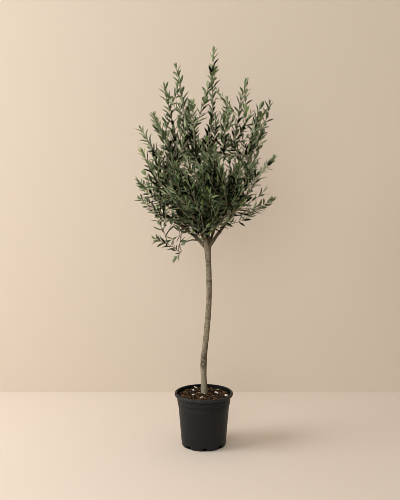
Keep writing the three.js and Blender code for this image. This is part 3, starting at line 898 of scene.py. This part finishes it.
def choose_ends(crown, leaders, fork):
    """Where shoots end: at a mass's further tips, then over the crown's open surface, then inside it."""
    outer = np.vstack([s["path"][len(s["path"]) // 2:] for s in leaders])
    ends = []
    for name, (points, corners) in crown.meshes.items():
        reach = np.linalg.norm(points - fork, axis=1)
        tip = points[reach.argmax()]
        edges = edges_of(corners)
        highest = reach.copy()
        np.maximum.at(highest, edges, reach[edges[:, ::-1]])
        for i, point in enumerate(points):
            near = np.linalg.norm(points - point, axis=1) < TIP_REACH
            if (reach[i] >= max(highest[i], reach[near].max())
                    and np.linalg.norm(point - tip) >= TIP_FROM_LEADER
                    and crown.depth(point + unit(point - fork) * TIP_CLEAR) <= 0
                    and np.linalg.norm(outer - point, axis=1).min() >= END_ROOM):
                ends.append((point, "tip", name))

    skin = [spot for spot in crown.skin if spot[1][2] > LOWEST_FACING or spot[2] == "mass_hanging"]
    spots, ways, owners = zip(*skin)
    spots = np.array(spots)
    gap = gap_at(spots, owners, SKIN_GAP)
    room = room_beside(outer[::2], spots, gap)
    for target, _, _ in ends:
        room = np.minimum(room, np.linalg.norm(spots - target, axis=1))
    spread_out(ends, "skin", spots, owners, room, gap, np.array(ways) * SKIN_DEPTH)

    spots, owners = zip(*[(point, name) for name in MASSES for point in crown.inner[name]
                          if crown.depth(point) > INNER_DEPTH])
    spots = np.array(spots)
    gap = gap_at(spots, owners, INNER_GAP)
    room = room_beside(np.array([target for target, _, _ in ends]), spots, gap)
    spread_out(ends, "deep", spots, owners, room, gap, np.zeros_like(spots))
    return ends


def leaving_cost(kind, name, wood, gap, cosine, rise, rng):
    """How badly each point of the wood suits a shoot: too near or far, too sharp a turn or too flat."""
    ideal = SHOOT_LENGTHS[kind]
    cost = np.abs(gap - ideal) * np.where(gap < ideal, 0.9, 1.3)
    cost = cost + 0.16 * np.maximum(0, 0.78 - cosine) + 0.22 * np.maximum(0, 0.35 - cosine)
    cost = cost + 0.10 * np.maximum(0, cosine - 0.965) / 0.035
    if name != "mass_hanging":
        cost = cost + 0.26 * np.maximum(0, 0.6 - rise)
    owner = np.array(wood.owner)
    cost = cost + np.where(owner == name, 0, 0.02) + np.where(owner == "limb", 0.03, 0)
    return cost + np.where(gap < SHORTEST, 0.2, 0) + rng.uniform(0, 0.012, len(gap))


def bent_path(start, leaving, target, reach, lift):
    """A shoot that leaves at a slant and turns up, and stops a little before its target."""
    chord = (target - start) / reach
    out_way = unit(chord + unit(chord - leaving * (chord @ leaving)) * 0.28)
    end_way = unit(chord + UP * lift)
    end = target - end_way * SHOOT_SHORT
    b = start + out_way * reach * 0.33
    c = end - end_way * reach * 0.33
    t = np.linspace(0, 1, 24)[:, None]
    s = 1 - t
    return evenly(s ** 3 * start + 3 * s ** 2 * t * b + 3 * s * t ** 2 * c + t ** 3 * end, SHOOT_STEP)


def crowding(path, stand, crown):
    """How many leafy points lie near each of a shoot's, on average, and more where it strays outside."""
    near = np.linalg.norm(path[len(path) // 4:][:, None] - stand[None], axis=2) < CROWD_REACH
    stray = np.mean([max(0.0, -crown.depth(p)) for p in path])
    return near.sum(axis=1).mean() + stray / (4 * MM) + (50 if stray > STRAY else 0)


def grow_crown(crown, limbs, fork):
    """Leaders to the tip of every mass, then shoots to points spread over and inside the crown."""
    rng = np.random.default_rng(SEEDS["shoots"])
    wood = Wood()
    wood.add(limbs["trunk"], "limb", 0.985, 1)
    for name in BOUGHS:
        wood.add(limbs[name], "limb", 0.9 if name == "bough_hanging" else 0.5, 1)
    shoots = grow_leaders(crown, wood, fork)
    leafy = [shoot["path"][int(len(shoot["path"]) * shoot["bare"]):] for shoot in shoots]
    for i, (target, kind, name) in enumerate(choose_ends(crown, shoots, fork)):
        at, along, gap, cosine, rise = wood.towards(target)
        cost = leaving_cost(kind, name, wood, gap, cosine, rise, rng)
        stand = np.vstack(leafy)
        stand = stand[np.linalg.norm(stand - target, axis=1) < CROWD_SEEN]
        best = None
        for _ in range(TRIES):
            pick = cost.argmin()
            lift = 0.12 if name == "mass_hanging" else 0.42
            path = bent_path(at[pick], along[pick], target, gap[pick], lift)
            crowd = crowding(path, stand, crown)
            if best is None or crowd < best[0] - 0.4:
                best = crowd, path, gap[pick]
            cost = np.where(np.linalg.norm(at - at[pick], axis=1) < TRY_GAP, cost + 1, cost)
        crowd, path, reach = best
        if crowd > CROWDED[kind]:
            continue
        path = swayed(path, 24, [k * 5.3 + i for k in range(3)], 0.9, 4)
        shoots.append({"path": path, "mass": name, "bare": SHOOT_BARE, "kind": kind})
        leafy.append(path[len(path) // 6:])
        if reach > BEARING_LENGTH:
            wood.add(path, name, 0.25, 0.7)
    return shoots


# ================================================================ twigs and leaves

# a leaf's cross sections: share of its length, share of its width, and its thickness over and under, in mm
LEAF_ROWS = [(0, 0.10, 0.45, 0.45), (0.10, 0.24, 0.22, 0.50), (0.30, 0.84, 0.06, 0.48),
             (0.56, 1, 0.04, 0.40), (0.82, 0.60, 0.03, 0.25)]
LEAF_TIP = 4 * len(LEAF_ROWS)  # a row has a margin, the midrib, a margin and the underside; the tip is last
LEAF_FACES = [  # (on the upper side or not, faces): three of quads, then two of triangles
    (True, repeated(np.array([(0, 4, 5, 1), (1, 5, 6, 2)]), len(LEAF_ROWS) - 1, 4)),
    (False, repeated(np.array([(4, 0, 3, 7), (7, 3, 2, 6)]), len(LEAF_ROWS) - 1, 4)),
    (False, np.array([(0, 1, 2, 3)])),
    (True, LEAF_TIP + np.array([(-4, 0, -3), (-3, 0, -2)])),
    (False, LEAF_TIP + np.array([(0, -4, -1), (0, -1, -2)]))]


def leaf_mesh(name, leaves):
    """One mesh of many leaves.

    Each is (base, way, face, length, width, droop, curl, twist, fold, upper tint, lower tint).
    """
    base, way, face, *sizes, tint, under = (np.array(column) for column in zip(*leaves))
    length, width, droop, curl, twist, fold = (size[:, None] for size in sizes)
    t, w, up, down = np.array(LEAF_ROWS).T
    level = np.zeros(len(t))
    x = np.append(np.repeat(t, 4), 1)[None]
    y = np.append(np.stack([-w, level, w, level], axis=1), 0)[None]
    z = np.append(np.stack([level, up, level, -down], axis=1), 0)[None]
    way = unit(way)
    face = unit(face - way * (face * way).sum(axis=1, keepdims=True))
    side = np.cross(face, way)
    across = y * width / 2
    rise = z * MM + np.abs(across) * fold
    turn = twist * x
    sideways = across * np.cos(turn) - rise * np.sin(turn) + curl * length * x ** 2
    upwards = across * np.sin(turn) + rise * np.cos(turn) - droop * length * x ** 2
    forward = x * length * (1 - 0.35 * droop ** 2)
    points = (base[:, None] + way[:, None] * forward[..., None] + side[:, None] * sideways[..., None]
              + face[:, None] * upwards[..., None])
    each = LEAF_TIP + 1
    copies = [repeated(f, len(leaves), each) for _, f in LEAF_FACES]
    faces = [np.concatenate(copies[:3]), np.concatenate(copies[3:])]
    tints = np.concatenate([np.repeat(tint if above else under, len(f)) for above, f in LEAF_FACES])
    mesh = mesh_from(name, points.reshape(-1, 3), faces, tints)
    # both margins and the channel along the midrib are crisp
    ends = np.sort(read(mesh.edges, "vertices", 2, np.int32) % each, axis=1)
    crisp = np.zeros((each, each), bool)  # whether the edge between two of a leaf's points is
    for first in range(3):
        line = [*range(first, LEAF_TIP, 4), LEAF_TIP]
        crisp[line[:-1], line[1:]] = True
    sharp = mesh.attributes.new("sharp_edge", "BOOLEAN", "EDGE")
    sharp.data.foreach_set("value", crisp[ends[:, 0], ends[:, 1]])
    return mesh


def shoot_tone(end, high, hanging, rng):
    """The tint that most of a shoot's leaves have: darker low in the crown, as painted shade, and younger
    high in it.
    """
    low = float(np.clip((1.14 - end[2]) / 0.16, 0, 1))
    odds = [0.34 + 0.22 * high + 0.34 * low, 0.40, 0.24 + 0.04 * high - 0.14 * low, 0.02 + 0.08 * high]
    odds = np.array([0.85, 0.15, 0, 0] if hanging else odds)
    return rng.choice([DARK, GREEN, GREY, YOUNG], p=odds / odds.sum())


def leaf_tints(middle, tone, young, high, yellow, crown, rng):
    """A leaf's two tints. The deeper in the crown and the lower it is, the darker they are, as painted
    shade.
    """
    low = np.clip((1.15 - middle[2]) / 0.25, 0, 1)
    shade = np.clip((crown.sunk(middle) / MM - 17 + 9 * low) / 18, 0.04 + 0.1 * low, 0.97)
    tint = tone if rng.uniform() < 0.6 else rng.choice([DARK, GREEN, GREY])
    if young > 0.45 and rng.uniform() < 0.55:
        tint = YOUNG if rng.uniform() < 0.15 + 0.35 * high else GREY
    if yellow and young > 0.2:
        tint = YELLOW if rng.uniform() < 0.6 else YOUNG
    # low in the crown a tint gives way to a darker one: painted shade
    if low > 0.35:
        tint = LOW_SHADED_TINTS.get(tint, tint)
    # undersides are dull, mid or pale at random, and low in the crown more are dull: painted shade
    odds = [0.25 + 0.5 * low, 0.4 - 0.25 * low, 0.35 - 0.25 * low]
    under = rng.choice([UNDER_DULL, UNDER, UNDER_PALE], p=odds)
    # deep in the crown, and sooner low in it, a leaf takes near-black or dark tints: painted shade
    if rng.uniform() < shade:
        tint, under = (SHADE, UNDER_DARK) if rng.uniform() < 0.6 + 0.3 * low else (DARK, UNDER_DULL)
    return tint, under


def slanted(along, across, over, turn, angle):
    """A leaf's way off its stem, the way it faces, and the side of the stem that it is on."""
    radial = math.cos(turn) * across + math.sin(turn) * over
    return (along * math.cos(angle) + radial * math.sin(angle),
            along * math.sin(angle) - radial * math.cos(angle), radial)


def leaves_on(shoot, rng, crown, heart, fork):
    """Opposite pairs of leaves up a shoot, each pair turned a quarter from the last, smaller to its tip."""
    path = shoot["path"]
    run = run_along(path)
    size = run[-1]
    tangents, across, over = frames_along(path)
    leader, hanging = shoot["kind"] == "leader", shoot["mass"] == "mass_hanging"
    high = float(np.clip((path[-1][2] - 1.0) / 0.55, 0, 1))
    broad = 1.05 if hanging else 0.86 + 0.26 * high
    tone = shoot_tone(path[-1], high, hanging, rng)
    yellow = rng.uniform() < 0.02
    spin = rng.uniform(0, 2 * math.pi)
    gap = LEADER_INTERNODE if leader or hanging else INTERNODE
    at = size * shoot["bare"] + rng.uniform(0, gap)
    leaves, pair = [], 0
    while at < size - 3 * MM:
        young = max(0.0, 1 - (size - at) / (70 * MM))
        centre = read_off(at, run, path)
        i = min(int(np.searchsorted(run, at)), len(path) - 1)
        turn = spin + pair * math.pi / 2 + rng.normal(0, 0.22)
        for side in (0, math.pi):
            if rng.uniform() < (0.16 if size - at > 0.6 * size and not leader else 0.04):
                continue
            angle = math.radians(rng.normal(46 - 14 * young - 10 * high, 8))
            way, face, radial = slanted(tangents[i], across[i], over[i], turn + side, angle)
            outward = unit(centre - heart)
            face = face * 0.7 + UP * rng.uniform(0.0, 0.5) + outward * rng.uniform(0.3, 1.1)
            face = face + rng.normal(0, 0.42, 3)
            long = LEAF_LENGTH * rng.normal(1, 0.13) * (1 - 0.34 * young ** 1.4)
            wide = LEAF_WIDTH * broad * rng.normal(1, 0.12) * (1 - 0.26 * young)
            middle = centre + way * long * 0.6
            if crown.depth(middle) < -LEAF_STRAY or by_fork(middle, fork):
                continue
            tints = leaf_tints(middle, tone, young, high, yellow, crown, rng)
            leaves.append((centre + radial * 0.6 * MM, way, face, long, wide, rng.normal(0.08, 0.07),
                           rng.normal(0, 0.05), rng.normal(0, 0.35), rng.uniform(0.2, 0.7), *tints))
        at += gap * rng.normal(1, 0.12) * (1 - 0.34 * young)
        pair += 1
    # the growing tip ends in a small upright pair
    for side in (0, math.pi):
        angle = math.radians(rng.uniform(8, 22))
        way, face, _ = slanted(tangents[-1], across[-1], over[-1], spin + pair * math.pi / 2 + side, angle)
        tint = YELLOW if yellow else (YOUNG if rng.uniform() < 0.5 else GREY)
        leaves.append((path[-1] - tangents[-1] * 1 * MM, way, face, rng.uniform(23, 30) * MM,
                       rng.uniform(6, 7.6) * MM, 0.03, 0.0, rng.normal(0, 0.2), 0.3, tint, UNDER))
    return leaves


def by_fork(place, fork):
    """Whether a leaf would hide the parting of the boughs, which stands clear."""
    off = (place - fork) / MM
    return math.hypot(off[0], off[1]) < 80 and off[2] < (50 if off[1] < 10 else 26)


def twig_of(shoot):
    path = shoot["path"]
    size = length_of(path)
    if shoot["kind"] == "leader":
        thick, sides, tip = min(4.8 * MM, 1.5 * MM + size * 0.0062), 7, 1.0 * MM
    else:
        thick, sides, tip = min(2.5 * MM, 1.05 * MM + size * 0.0042), 5, 0.8 * MM
    return tube(path, tip + (thick - tip) * (1 - np.linspace(0, 1, len(path))) ** 0.8, sides)


def build_foliage(shoots, crown, fork):
    """A piece of leaves and a piece of twigs for each mass."""
    rng = np.random.default_rng(SEEDS["leaves"])
    boxes = [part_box(name) for name in MASSES]
    heart = (np.min([lo for lo, _ in boxes], axis=0) + np.max([hi for _, hi in boxes], axis=0)) / 2
    heart[2] = min(lo.z for lo, _ in boxes) + 0.25
    for mass in MASSES:
        leaves, twigs = [], []
        for shoot in [s for s in shoots if s["mass"] == mass]:
            leaves += leaves_on(shoot, rng, crown, heart, fork)
            tint = TWIG_GREY
            if shoot["kind"] != "leader":
                tint = TWIG_GREEN if rng.uniform() < 0.45 else TWIG_BROWN
            twigs.append((*twig_of(shoot), tint))
        name = mass.replace("mass_", "leaves_")
        piece(name, leaf_mesh(name, leaves), LEAF_TINTS, [mass])
        name = mass.replace("mass_", "twigs_")
        piece(name, mesh_from(name, *joined(twigs)), TWIG_TINTS, [mass])


# ================================================================ stage

def build_room():
    """The floor, and a backdrop that is seen from its front only, so that it hides nothing from behind."""
    paint = plain("backdrop_plaster", (0.68, 0.600, 0.505), 0.95, 0.1)
    nodes, links = paint.node_tree.nodes, paint.node_tree.links
    clear, choose = nodes.new("ShaderNodeBsdfTransparent"), nodes.new("ShaderNodeMixShader")
    links.new(nodes.new("ShaderNodeNewGeometry").outputs["Backfacing"], choose.inputs["Fac"])
    links.new(nodes["Principled BSDF"].outputs[0], choose.inputs[1])
    links.new(clear.outputs[0], choose.inputs[2])
    links.new(choose.outputs[0], nodes["Material Output"].inputs["Surface"])
    wide, back, top = FLOOR_REACH, WALL_BEHIND, WALL_HEIGHT
    sheets = {
        "floor": (plain("floor_plaster", (0.805, 0.718, 0.630), 0.9, 0.2),
                  [(-wide, -wide, 0), (wide, -wide, 0), (wide, wide, 0), (-wide, wide, 0)]),
        "backdrop": (paint, [(-wide, back, 0), (wide, back, 0), (wide, back, top), (-wide, back, top)])}
    for name, (material, corners) in sheets.items():
        sheet = put(name, mesh_from(name, np.array(corners), [np.array([(0, 1, 2, 3)])]))
        sheet.data.materials.append(material)


def build_light(name, place, watts, color):
    """A round soft lamp, aimed at the stem."""
    data = bpy.data.lights.new(name, "AREA")
    data.shape, data.size, data.energy, data.color = "DISK", 3.6, watts, color
    lamp = put(name, data)
    lamp.location = place
    lamp.rotation_mode = "QUATERNION"
    lamp.rotation_quaternion = (Vector((0, 0, 0.9)) - Vector(place)).to_track_quat("-Z", "Y")


def build_stage():
    scene = bpy.context.scene
    build_room()
    scene.world = bpy.data.worlds.new("studio")
    scene.world.use_nodes = True
    sky = scene.world.node_tree.nodes["Background"].inputs
    sky["Color"].default_value = (0.94, 0.86, 0.76, 1)
    sky["Strength"].default_value = 0.45
    build_light("key", (-4.8, -1.2, 2.8), 226, (1.0, 0.99, 0.985))
    build_light("fill", (-1.2, -5.1, 2.2), 88, (1.0, 0.985, 0.97))

    camera_data = bpy.data.cameras.new("camera")
    camera_data.lens, camera_data.sensor_width = LENS, 36
    camera = put("camera", camera_data)
    camera.location = CAMERA_PLACE
    camera.rotation_euler = (math.radians(90 - CAMERA_DOWN), 0, 0)
    scene.camera = camera
    scene.view_settings.view_transform = "Standard"
    scene.cycles.filter_width = 0.8


build_stage()
build_pot()
build_soil()
build_chips()
limbs, fork = build_limbs()
crown = Crown(np.random.default_rng(SEEDS["crown"]))
build_foliage(grow_crown(crown, limbs, fork), crown, fork)
